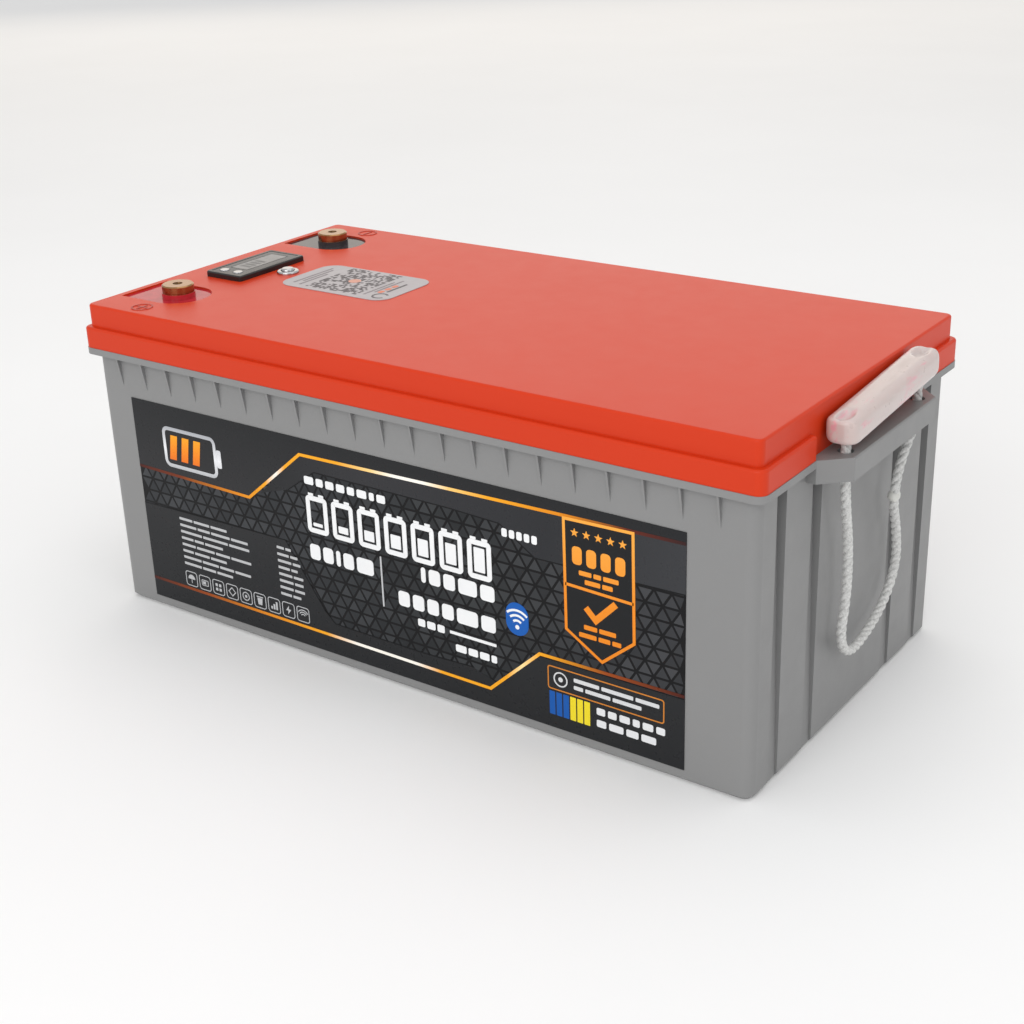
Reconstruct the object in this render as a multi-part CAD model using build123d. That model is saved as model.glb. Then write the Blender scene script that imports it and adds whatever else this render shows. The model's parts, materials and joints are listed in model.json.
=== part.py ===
from build123d import *
import math
import os

# A sealed deep cycle battery: eight prismatic cells in a moulded case with two rope handles.
# Millimetres. The origin is the middle of the base, X runs along the case, the label faces -Y,
# the terminals are at the -X end and +Z is up.

# Case and lid
CASE_LENGTH = 522.0
CASE_WIDTH = 268.0
WALL_INSET = 6.0
WALL_LENGTH = CASE_LENGTH - 2 * WALL_INSET
WALL_WIDTH = CASE_WIDTH - 2 * WALL_INSET
SIDE_WALL = 3.5
END_WALL = 9.5
FLOOR = 4.0
FLANGE_LOW = 187.5
FLANGE_TOP = 192.0
SKIRT_TOP = 206.5
LID_TOP = 222.0
LID_SKIN = 3.5
TIER_INSET = 4.0
CORNER = 7.0
SKIRT_CORNER = 6.0
TIER_CORNER = 4.5
BASE_CHAMFER = 3.0
CAVITY_LENGTH = WALL_LENGTH - 2 * END_WALL
CAVITY_WIDTH = WALL_WIDTH - 2 * SIDE_WALL

# Ribs under the flange, and the grooves of the end walls
RIB_COUNT = 21
RIB_PITCH = 23.25
RIB_THICK = 1.4
RIB_HEIGHT = 21.0
RIB_REACH = 3.6
GROOVES = ((50.0, 62.5), (94.5, 106.0))
GROOVE_TOP_DEPTH = 6.0
GROOVE_BASE_DEPTH = 1.2

# Handle brackets, grips and rope
BRACKET_REACH = 277.0
BRACKET_ROOT = 72.0
BRACKET_FACE = 57.0
BRACKET_LOW = 178.0
ROPE_DIAMETER = 6.0
ROPE_X = 268.0
ROPE_Y = 50.0
ROPE_HOLE_RADIUS = 4.6
ROPE_JOIN = 190.0
GRIP_LENGTH = 123.0
GRIP_WIDTH = 20.5
GRIP_HEIGHT = 16.5
GRIP_CUT = 9.0
GRIP_CUT_RISE = 2.6
GRIP_ROUNDING = 3.0
RAISED_GRIP = {"tilt": 4.0, "middle": 209.2}
RESTING_GRIP = {"tilt": 0.0, "middle": FLANGE_TOP + 0.4 + GRIP_HEIGHT / 2}
LID_BEHIND_GRIP = 257.0
SPLICE_AT = (266.0, 28.5, 136.0)
LOOP_ROUTE = [
    (268.0, -50.0, 190.0),
    (268.0, -48.0, 164.0),
    (266.0, -35.0, 130.0),
    (265.0, -31.0, 96.0),
    (264.0, -36.0, 66.0),
    (264.0, -22.0, 50.0),
    (264.0, 6.0, 54.0),
    (264.0, 31.0, 66.0),
    (264.0, 45.0, 86.0),
    (265.0, 38.0, 112.0),
    (266.0, 27.0, 134.0),
    (267.0, 33.0, 158.0),
    (268.0, 49.5, 176.0),
    (268.0, 50.0, 190.0),
]

# Terminals in their potted wells
POSITIVE = (-217.0, -82.0)
NEGATIVE = (-220.0, 83.0)
WELL_LEFT = -251.0
WELL_RIGHT = -194.0
WELL_WIDTH = 43.0
WELL_FLOOR = 216.0
WELL_BOSS_LOW = 211.0
POTTING_TOP = 220.7
POST_RADIUS = 11.0
POST_NECK_RADIUS = 9.0
POST_TOP = 230.0
POST_FLANGE_RADIUS = 15.0
POST_FLANGE_LOW = 206.0
STUD_RADIUS = 5.0
STUD_LOW = 190.0
M8_BORE_RADIUS = 3.4
M8_BORE_DEPTH = 14.0
RING_RADIUS = 11.5
RING_TOP = 224.2
MARK_RADIUS = 7.5

# Display and power button on the lid
DISPLAY_AT = (-218.5, -3.5)
DISPLAY_SIZE = (34.0, 68.0)
DISPLAY_TOP = 226.0
DISPLAY_BODY_LOW = 208.0
WINDOW_SIZE = (28.0, 62.0)
LCD_SIZE = (15.0, 42.0)
KEY_RADIUS = 3.4
KEYS = {"left": (-225.0, -28.5), "right": (-212.0, -28.5)}
POWER_AT = (-189.0, -1.5)
POWER_FLANGE_RADIUS = 8.0
POWER_BARREL_RADIUS = 6.4
POWER_CAP_RADIUS = 4.9

# Labels
TOP_LABEL = (-128.0, 1.5, 96.5, 59.0)
FRONT_LABEL_X = (-225.5, 212.5)
FRONT_LABEL_Z = (8.5, 159.5)
LABEL_THICK = 0.4

# Cell stack
CELL_COUNT = 8
CELL_THICK = 54.0
CELL_WIDTH = 174.0
CELL_HEIGHT = 154.0
CELL_PITCH = 55.0
CELL_BASE = 7.0
CELL_TOP = CELL_BASE + CELL_HEIGHT
POLE_Y = 58.0
POLE_RADIUS = 8.0
POLE_STUD_RADIUS = 3.0
BAR_LOW = CELL_TOP + 3.0
BAR_TOP = BAR_LOW + 2.0
PLATE_THICK = 6.0
STACK_HALF = CELL_PITCH * CELL_COUNT / 2
ROD_Y = 93.0
ROD_HEIGHTS = (35.0, 140.0)
ROD_RADIUS = 3.0
ROD_HALF = STACK_HALF + PLATE_THICK + 7.0

# Battery management system above the cells
BMS_CENTRE = (35.0, 0.0)
BMS_SIZE = (165.0, 92.0)
TRAY_LOW = 174.0
TRAY_TOP = 176.0
BOARD_LOW = 180.0
BOARD_TOP = 182.0
SINK_TOP = 194.0
CABLE_RADIUS = 4.0
LUG_THICK = 2.0

FIT = 0.3


def block(low, high):
    """A box between two opposite corners."""
    size = [b - a for a, b in zip(low, high)]
    middle = [(a + b) / 2 for a, b in zip(low, high)]
    return Pos(*middle) * Box(*size)


def slab(length, width, low, high, radius, centre=(0.0, 0.0)):
    """An upright plate with rounded corners."""
    outline = RectangleRounded(length, width, radius)
    return Pos(centre[0], centre[1], low) * extrude(outline, high - low)


def disc(at, radius, low, high):
    """An upright cylinder."""
    return Pos(at[0], at[1], (low + high) / 2) * Cylinder(radius, high - low)


def tube(at, outer, inner, low, high):
    """An upright ring."""
    return disc(at, outer, low, high) - disc(at, inner, low - 1, high + 1)


def hex_nut(at, flats, hole, low, high):
    """An upright hexagon nut."""
    outline = RegularPolygon(flats / 2, 6, major_radius=False)
    nut = Pos(at[0], at[1], low) * extrude(outline, high - low)
    return nut - disc(at, hole, low - 1, high + 1)


def rod_along_x(y, z, radius, x0, x1):
    """A cylinder that lies along X."""
    return Pos((x0 + x1) / 2, y, z) * Rot(0, 90, 0) * Cylinder(radius, x1 - x0)


def corner_radii(points):
    """The largest arc that each corner's two runs allow."""
    radii = []
    for before, corner, after in zip(points, points[1:], points[2:]):
        arriving = Vector(*corner) - Vector(*before)
        leaving = Vector(*after) - Vector(*corner)
        half_turn = math.radians(arriving.get_angle(leaving)) / 2
        shorter = min(arriving.length, leaving.length)
        radii.append(0.45 * shorter / math.tan(half_turn))
    return radii


def round_tube(points, diameter, radii=None):
    """A tube along straight runs joined by tangent arcs."""
    path = FilletPolyline(*points, radius=radii or corner_radii(points))
    start = Plane(origin=path @ 0, z_dir=path % 0)
    swept = sweep(start * Circle(diameter / 2), path=path)
    expected = path.length * math.pi * diameter ** 2 / 4
    print(f"tube length {path.length:.1f}, volume {swept.volume:.0f} against {expected:.0f}")
    return swept


def turned(shape):
    """The same piece at the other end of the case."""
    return Rot(0, 0, 180) * shape


def pole(cell, side):
    """Where a cell's terminal stands."""
    return ((cell - (CELL_COUNT - 1) / 2) * CELL_PITCH, side * POLE_Y)


ALL_POLES = [pole(cell, side) for cell in range(CELL_COUNT) for side in (-1, 1)]


def groove_cutter(y0, y1):
    """A groove in the end wall that gets shallower towards the base."""
    half = WALL_LENGTH / 2
    profile = Polyline(
        (half + 2, 0, FLANGE_LOW),
        (half - GROOVE_TOP_DEPTH, 0, FLANGE_LOW),
        (half - GROOVE_BASE_DEPTH, 0, -1),
        (half + 2, 0, -1),
        close=True,
    )
    return Pos(0, y0, 0) * extrude(make_face(profile), y1 - y0, dir=(0, 1, 0))


def rib(x):
    """A thin triangular rib between the front wall and the flange."""
    face = -WALL_WIDTH / 2
    profile = Polyline(
        (x, face + 1, FLANGE_LOW - RIB_HEIGHT),
        (x, face, FLANGE_LOW - RIB_HEIGHT),
        (x, face - RIB_REACH, FLANGE_LOW),
        (x, face - RIB_REACH, FLANGE_LOW + 1),
        (x, face + 1, FLANGE_LOW + 1),
        close=True,
    )
    return extrude(make_face(profile), RIB_THICK / 2, dir=(1, 0, 0), both=True)


def bracket():
    """The shelf that carries the rope, with its two holes."""
    root = WALL_LENGTH / 2 - 3
    outline = Polyline(
        (root, -BRACKET_ROOT, BRACKET_LOW),
        (CASE_LENGTH / 2, -BRACKET_ROOT, BRACKET_LOW),
        (BRACKET_REACH, -BRACKET_FACE, BRACKET_LOW),
        (BRACKET_REACH, BRACKET_FACE, BRACKET_LOW),
        (CASE_LENGTH / 2, BRACKET_ROOT, BRACKET_LOW),
        (root, BRACKET_ROOT, BRACKET_LOW),
        close=True,
    )
    shelf = extrude(make_face(outline), FLANGE_TOP - BRACKET_LOW, dir=(0, 0, 1))
    shelf = chamfer(shelf.faces().sort_by(Axis.Z)[-1].edges().filter_by(Axis.Y), 0.8)
    for side in (-1, 1):
        shelf -= disc((ROPE_X, side * ROPE_Y), ROPE_HOLE_RADIUS, BRACKET_LOW - 1, FLANGE_TOP + 1)
    return shelf


def container():
    """The grey case that holds the cells."""
    body = slab(WALL_LENGTH, WALL_WIDTH, 0, FLANGE_TOP, CORNER)
    body = chamfer(body.faces().sort_by(Axis.Z)[0].edges(), BASE_CHAMFER)
    for y0, y1 in GROOVES:
        for low, high in ((y0, y1), (-y1, -y0)):
            cutter = groove_cutter(low, high)
            body -= cutter
            body -= mirror(cutter, about=Plane.YZ)
    body += slab(CASE_LENGTH, CASE_WIDTH, FLANGE_LOW, FLANGE_TOP, CORNER)
    for i in range(RIB_COUNT):
        front = rib((i - (RIB_COUNT - 1) / 2) * RIB_PITCH)
        body += front
        body += mirror(front, about=Plane.XZ)
    body += bracket()
    body += turned(bracket())
    body -= slab(CAVITY_LENGTH, CAVITY_WIDTH, FLOOR, FLANGE_TOP + 1, CORNER - SIDE_WALL)
    body -= gasket_ring(FLANGE_TOP - 2, FLANGE_TOP + 1)
    return body


def gasket_ring(low, high):
    """The seal's groove in the rim."""
    outer = slab(WALL_LENGTH + 4, WALL_WIDTH + 4, low, high, CORNER)
    return outer - slab(WALL_LENGTH - 2, WALL_WIDTH - 2, low - 1, high + 1, CORNER - 3)


def well_outline(at, grow=0.0):
    """A well with a straight end towards the edge and a round end inwards."""
    half = WELL_WIDTH / 2 + grow
    right = WELL_RIGHT + grow - half
    middle = (right + WELL_LEFT - grow) / 2
    outline = Pos(middle, at[1]) * Rectangle(right - WELL_LEFT + grow, 2 * half)
    outline += Pos(right, at[1]) * Circle(half)
    return outline


def well(at, low, high, grow=0.0):
    return Pos(0, 0, low) * extrude(well_outline(at, grow), high - low)


def polarity_mark(centre, bars):
    """A raised ring with a plus or a minus in it."""
    top = LID_TOP + 0.3
    mark = tube(centre, MARK_RADIUS, MARK_RADIUS - 1.2, LID_TOP - 0.5, top)
    for length, width in bars:
        low = (centre[0] - length / 2, centre[1] - width / 2, LID_TOP - 0.5)
        mark += block(low, (centre[0] + length / 2, centre[1] + width / 2, top))
    return mark


def lid():
    """The orange lid, stepped round its edge."""
    tier_length = CASE_LENGTH - 2 * TIER_INSET
    tier_width = CASE_WIDTH - 2 * TIER_INSET
    skirt = slab(CASE_LENGTH - 1, CASE_WIDTH - 1, FLANGE_TOP, SKIRT_TOP, SKIRT_CORNER)
    skirt = fillet(skirt.faces().sort_by(Axis.Z)[-1].edges(), 1.8)
    tier = slab(tier_length, tier_width, FLANGE_TOP + 1, LID_TOP, TIER_CORNER)
    tier = fillet(tier.faces().sort_by(Axis.Z)[-1].edges(), 1.6)
    behind = block((LID_BEHIND_GRIP, -BRACKET_ROOT, FLANGE_TOP - 1), (265, BRACKET_ROOT, SKIRT_TOP + 1))
    body = skirt - behind - turned(behind) + tier
    lip = slab(CAVITY_LENGTH - 1, CAVITY_WIDTH - 1, FLANGE_TOP - 5, FLANGE_TOP + 1, 3)
    body += lip
    body -= slab(CAVITY_LENGTH - 7, CAVITY_WIDTH - 7, FLANGE_TOP - 6, FLANGE_TOP + 4, 2)
    inner = LID_TOP - LID_SKIN
    body -= slab(tier_length - 7, tier_width - 7, FLANGE_TOP + 3, inner, 2)
    for at in (POSITIVE, NEGATIVE):
        body += well(at, WELL_BOSS_LOW, inner + 1, 2.5)
        body -= well(at, WELL_FLOOR, LID_TOP + 1)
        body -= disc(at, POST_NECK_RADIUS + 0.05, WELL_BOSS_LOW - 1, LID_TOP)
    body += polarity_mark((-216.0, -117.0), ((9.0, 1.6), (1.6, 9.0)))
    body += polarity_mark((-214.0, 117.0), ((1.6, 9.0),))
    opening = (DISPLAY_SIZE[0] - 4, DISPLAY_SIZE[1] - 4)
    body -= slab(*opening, inner - 1, LID_TOP + 1, 2, DISPLAY_AT)
    body -= disc(POWER_AT, POWER_BARREL_RADIUS + 0.1, inner - 1, LID_TOP + 1)
    return body


def terminal(at):
    """A brass post with a threaded bore in its head and a stud below."""
    post = disc(at, POST_RADIUS, RING_TOP, POST_TOP)
    post = chamfer(post.faces().sort_by(Axis.Z)[-1].edges(), 0.8)
    post += disc(at, POST_NECK_RADIUS, WELL_BOSS_LOW, RING_TOP)
    post += disc(at, POST_FLANGE_RADIUS, POST_FLANGE_LOW, WELL_BOSS_LOW)
    post += disc(at, STUD_RADIUS, STUD_LOW, POST_FLANGE_LOW)
    return post - disc(at, M8_BORE_RADIUS, POST_TOP - M8_BORE_DEPTH, POST_TOP + 1)


def potting(at):
    """The resin that fills the floor of a well."""
    return well(at, WELL_FLOOR, POTTING_TOP) - disc(at, POST_NECK_RADIUS, WELL_FLOOR - 1, LID_TOP)


def terminal_nuts():
    high = POST_FLANGE_LOW - LUG_THICK
    return [hex_nut(at, 17, STUD_RADIUS, high - 6, high) for at in (POSITIVE, NEGATIVE)]


def display_housing():
    """The black bezel and the body that hangs through the lid."""
    length, width = DISPLAY_SIZE
    bezel = slab(length, width, LID_TOP, DISPLAY_TOP, 2.5, DISPLAY_AT)
    bezel = chamfer(bezel.faces().sort_by(Axis.Z)[-1].edges(), 0.8)
    body = bezel + slab(length - 4.4, width - 4.4, DISPLAY_BODY_LOW, LID_TOP, 2, DISPLAY_AT)
    body -= slab(*WINDOW_SIZE, DISPLAY_TOP - 1.2, DISPLAY_TOP + 1, 1.5, DISPLAY_AT)
    body -= slab(length - 8, width - 8, DISPLAY_BODY_LOW - 1, DISPLAY_TOP - 4, 1.5, DISPLAY_AT)
    body -= slab(*LCD_SIZE, DISPLAY_TOP - 5, DISPLAY_TOP, 0.8, lcd_centre())
    for at in KEYS.values():
        body -= disc(at, KEY_RADIUS + FIT, DISPLAY_TOP - 5, DISPLAY_TOP + 1)
    return body


def lcd_centre():
    return (DISPLAY_AT[0], DISPLAY_AT[1] + 4)


def display_window():
    window = slab(*WINDOW_SIZE, DISPLAY_TOP - 1.2, DISPLAY_TOP - 0.2, 1.5, DISPLAY_AT)
    for at in KEYS.values():
        window -= disc(at, KEY_RADIUS + FIT, DISPLAY_TOP - 2, DISPLAY_TOP + 1)
    return window


def display_key(at):
    """A small round button with a collar that keeps it in."""
    cap = disc(at, KEY_RADIUS, DISPLAY_TOP - 5.2, DISPLAY_TOP + 0.3)
    cap = fillet(cap.faces().sort_by(Axis.Z)[-1].edges(), 0.5)
    return cap + disc(at, KEY_RADIUS + 1, DISPLAY_TOP - 5.4, DISPLAY_TOP - 4.4)


def display_board():
    length, width = DISPLAY_SIZE
    board = slab(length - 9, width - 9, DISPLAY_BODY_LOW + 6, DISPLAY_BODY_LOW + 7.6, 1, DISPLAY_AT)
    for at in KEYS.values():
        board += disc(at, 2.4, DISPLAY_BODY_LOW + 7, DISPLAY_BODY_LOW + 11.6)
    return board


def power_bezel():
    """The chrome flange and threaded barrel of the power button."""
    inner = POWER_CAP_RADIUS + FIT
    flange = disc(POWER_AT, POWER_FLANGE_RADIUS, LID_TOP, LID_TOP + 2)
    flange = fillet(flange.faces().sort_by(Axis.Z)[-1].edges(), 1.2)
    bezel = flange + disc(POWER_AT, POWER_BARREL_RADIUS, LID_TOP - 16, LID_TOP)
    return bezel - disc(POWER_AT, inner, LID_TOP - 17, LID_TOP + 3)


def power_cap():
    cap = disc(POWER_AT, POWER_CAP_RADIUS, LID_TOP - 7, LID_TOP + 3.6)
    return fillet(cap.faces().sort_by(Axis.Z)[-1].edges(), 1.6)


def power_switch():
    plug = disc(POWER_AT, POWER_CAP_RADIUS + FIT, LID_TOP - 16, LID_TOP - 9)
    return plug + disc(POWER_AT, POWER_BARREL_RADIUS, LID_TOP - 21, LID_TOP - 16)


def rope_core(tilt, middle, diameter):
    """Up from one bracket hole, through the grip and down to the other."""
    rise = ROPE_Y * math.tan(math.radians(tilt))
    low = ROPE_JOIN + 0.5
    route = [
        (ROPE_X, -ROPE_Y, low),
        (ROPE_X, -ROPE_Y, middle - rise),
        (ROPE_X, ROPE_Y, middle + rise),
        (ROPE_X, ROPE_Y, low),
    ]
    return round_tube(route, diameter, [ROPE_DIAMETER] * 2)


def grip(tilt, middle):
    """The moulded bar, tilted as it lies on its rope."""
    half, high = GRIP_LENGTH / 2, GRIP_HEIGHT / 2
    profile = Polyline(
        (0, -half, high),
        (0, -half, GRIP_CUT_RISE - high),
        (0, GRIP_CUT - half, -high),
        (0, half - GRIP_CUT, -high),
        (0, half, GRIP_CUT_RISE - high),
        (0, half, high),
        close=True,
    )
    bar = extrude(make_face(profile), GRIP_WIDTH / 2, dir=(1, 0, 0), both=True)
    bar = fillet(bar.edges(), GRIP_ROUNDING)
    bar = Pos(ROPE_X, 0, middle) * Rot(tilt, 0, 0) * bar
    return bar - rope_core(tilt, middle, ROPE_DIAMETER + 0.6)


def splice():
    """The melted knob that joins the rope's ends."""
    knob = Pos(*SPLICE_AT) * Sphere(ROPE_DIAMETER * 0.72)
    return knob - round_tube(LOOP_ROUTE, ROPE_DIAMETER + 0.2)


def cell(index):
    at = (pole(index, 1)[0], 0.0)
    body = slab(CELL_THICK, CELL_WIDTH, CELL_BASE, CELL_TOP, 3, at)
    vent = slab(12, 24, CELL_TOP - 0.8, CELL_TOP + 1, 5, (at[0], 22.0))
    return body - vent


def cell_poles():
    return [
        disc(at, POLE_RADIUS, CELL_TOP, BAR_LOW) + disc(at, POLE_STUD_RADIUS, BAR_LOW, BAR_TOP + 7)
        for at in ALL_POLES
    ]


def busbars():
    """Links that join the cells in series, on alternate sides."""
    bars = []
    for index in range(CELL_COUNT - 1):
        side = 1 if index % 2 == 0 else -1
        ends = (pole(index, side), pole(index + 1, side))
        middle = ((ends[0][0] + ends[1][0]) / 2, ends[0][1])
        bar = slab(CELL_PITCH + 20, 20, BAR_LOW, BAR_TOP, 6, middle)
        for at in ends:
            bar -= disc(at, POLE_STUD_RADIUS + 0.1, BAR_LOW - 1, BAR_TOP + 1)
        bars.append(bar)
    return bars


def free_poles():
    """The two poles that the links leave free."""
    return (pole(0, -1), pole(CELL_COUNT - 1, -1))


def pole_nuts():
    nuts = []
    for at in ALL_POLES:
        low = BAR_TOP + (LUG_THICK - 2 if at in free_poles() else 0)
        nuts.append(hex_nut(at, 10, POLE_STUD_RADIUS, low, low + 5))
    return nuts


def spacers():
    """Insulating sheets between neighbouring cells."""
    sheets = []
    for index in range(CELL_COUNT - 1):
        x = (index - (CELL_COUNT - 2) / 2) * CELL_PITCH
        half = (CELL_PITCH - CELL_THICK) / 2
        low = (x - half, -CELL_WIDTH / 2, CELL_BASE)
        sheets.append(block(low, (x + half, CELL_WIDTH / 2, CELL_TOP)))
    return sheets


def end_plate():
    """The plate that presses the stack together."""
    low = (STACK_HALF, -CELL_WIDTH / 2 - 12, CELL_BASE)
    plate = block(low, (STACK_HALF + PLATE_THICK, CELL_WIDTH / 2 + 12, CELL_TOP - 4))
    for side in (-1, 1):
        for height in ROD_HEIGHTS:
            plate -= rod_along_x(side * ROD_Y, height, ROD_RADIUS + 0.2, STACK_HALF - 1, ROD_HALF)
    return plate


def tie_rods():
    return [
        rod_along_x(side * ROD_Y, height, ROD_RADIUS, -ROD_HALF, ROD_HALF)
        for side in (-1, 1)
        for height in ROD_HEIGHTS
    ]


def rod_nuts():
    nuts = []
    x0 = STACK_HALF + PLATE_THICK
    for side in (-1, 1):
        for height in ROD_HEIGHTS:
            nut = Pos(x0, side * ROD_Y, height) * Rot(0, 90, 0) * hex_nut((0, 0), 10, ROD_RADIUS, 0, 5)
            nuts += [nut, turned(nut)]
    return nuts


def foam_pads():
    """Foam between the stack and the case's walls."""
    side = block((-STACK_HALF, 100, FLOOR), (STACK_HALF, CAVITY_WIDTH / 2, 150))
    end = block((STACK_HALF + PLATE_THICK + 8, -70, FLOOR), (CAVITY_LENGTH / 2, 70, 150))
    return [side, turned(side), end, turned(end)]


def tray_legs():
    x, y = BMS_CENTRE
    return [(x + dx, y + dy) for dx in (-75, 75) for dy in (-38, 38)]


def bms_tray():
    """A plate on four legs, with a standoff over each leg."""
    tray = slab(BMS_SIZE[0] + 8, BMS_SIZE[1] + 4, TRAY_LOW, TRAY_TOP, 4, BMS_CENTRE)
    for at in tray_legs():
        tray += disc(at, 4.5, CELL_TOP, BOARD_LOW)
        tray -= disc(at, 1.6, TRAY_LOW, BOARD_LOW + 1)
    return tray


def bms_board():
    board = slab(*BMS_SIZE, BOARD_LOW, BOARD_TOP, 2, BMS_CENTRE)
    for at in tray_legs():
        board -= disc(at, 2.0, BOARD_LOW - 1, BOARD_TOP + 1)
    return board


def bms_heatsink():
    """A finned plate over the board's transistors."""
    x, y = BMS_CENTRE
    sink = slab(130, 60, BOARD_TOP, BOARD_TOP + 4, 1, BMS_CENTRE)
    for i in range(9):
        low = (x - 64, y - 28.8 + i * 7, BOARD_TOP + 4)
        sink += block(low, (x + 64, low[1] + 1.6, SINK_TOP))
    return sink


def bms_screws():
    return [
        disc(at, 3.2, BOARD_TOP, BOARD_TOP + 2.2) + disc(at, 1.55, BOARD_TOP - 7, BOARD_TOP)
        for at in tray_legs()
    ]


def balance_harness():
    """A flat flexible circuit along the stack, with a tab to every link."""
    half = STACK_HALF - 4
    loom = block((-half, -4, CELL_TOP), (half, 4, CELL_TOP + 0.6))
    for index in range(CELL_COUNT):
        x = pole(index, 1)[0]
        side = 1 if index % 2 == 0 else -1
        low, high = sorted((side * 3, side * (POLE_Y - POLE_RADIUS - 0.5)))
        loom += block((x + 16, low, CELL_TOP), (x + 20, high, CELL_TOP + 0.6))
    return loom


def lug(at, low, towards):
    """A ring lug with a short barrel that points along X."""
    ring = disc(at, 8.5, low, low + LUG_THICK)
    x0, x1 = sorted((at[0], at[0] + towards * 16))
    ring += block((x0, at[1] - 5, low), (x1, at[1] + 5, low + LUG_THICK))
    return ring


def power_leads():
    """The positive lead, the negative lead from the stack, and the negative lead to its terminal."""
    height = POST_FLANGE_LOW - LUG_THICK / 2
    first, last = free_poles()
    stack_height = BAR_LOW + 1
    positive = [
        (POSITIVE[0] + 16, POSITIVE[1], height),
        (POSITIVE[0] + 40, POSITIVE[1], height - 2),
        (first[0] + 32, first[1] - 14, height - 18),
        (first[0] + 36, first[1], stack_height + 6),
        (first[0] + 16, first[1], stack_height),
    ]
    to_board = [
        (last[0] - 16, last[1], stack_height),
        (last[0] - 34, last[1], stack_height + 6),
        (last[0] - 52, last[1] + 12, BOARD_TOP + 5),
        (BMS_CENTRE[0] + 74, last[1] + 30, BOARD_TOP + 5),
    ]
    to_terminal = [
        (BMS_CENTRE[0] - 74, 30, BOARD_TOP + 6),
        (-80, 34, BOARD_TOP + 10),
        (-125, 56, BOARD_TOP + 14),
        (-168, NEGATIVE[1] - 4, height - 3),
        (NEGATIVE[0] + 16, NEGATIVE[1], height),
    ]
    return [round_tube(route, 2 * CABLE_RADIUS) for route in (positive, to_board, to_terminal)]


def cable_lugs(leads):
    """Ring lugs on the two terminals' studs and on the stack's free poles."""
    first, last = free_poles()
    low = POST_FLANGE_LOW - LUG_THICK
    lugs = [
        lug(POSITIVE, low, 1) - disc(POSITIVE, STUD_RADIUS + 0.1, low - 1, low + 4),
        lug(NEGATIVE, low, 1) - disc(NEGATIVE, STUD_RADIUS + 0.1, low - 1, low + 4),
        lug(first, BAR_LOW, 1) - disc(first, POLE_STUD_RADIUS + 0.1, BAR_LOW - 1, BAR_TOP + 1),
        lug(last, BAR_LOW, -1) - disc(last, POLE_STUD_RADIUS + 0.1, BAR_LOW - 1, BAR_TOP + 1),
    ]
    for lead in leads:
        lugs = [piece - lead for piece in lugs]
    return lugs


def front_label():
    face = -WALL_WIDTH / 2
    low = (FRONT_LABEL_X[0], face - LABEL_THICK, FRONT_LABEL_Z[0])
    return block(low, (FRONT_LABEL_X[1], face, FRONT_LABEL_Z[1]))


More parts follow.
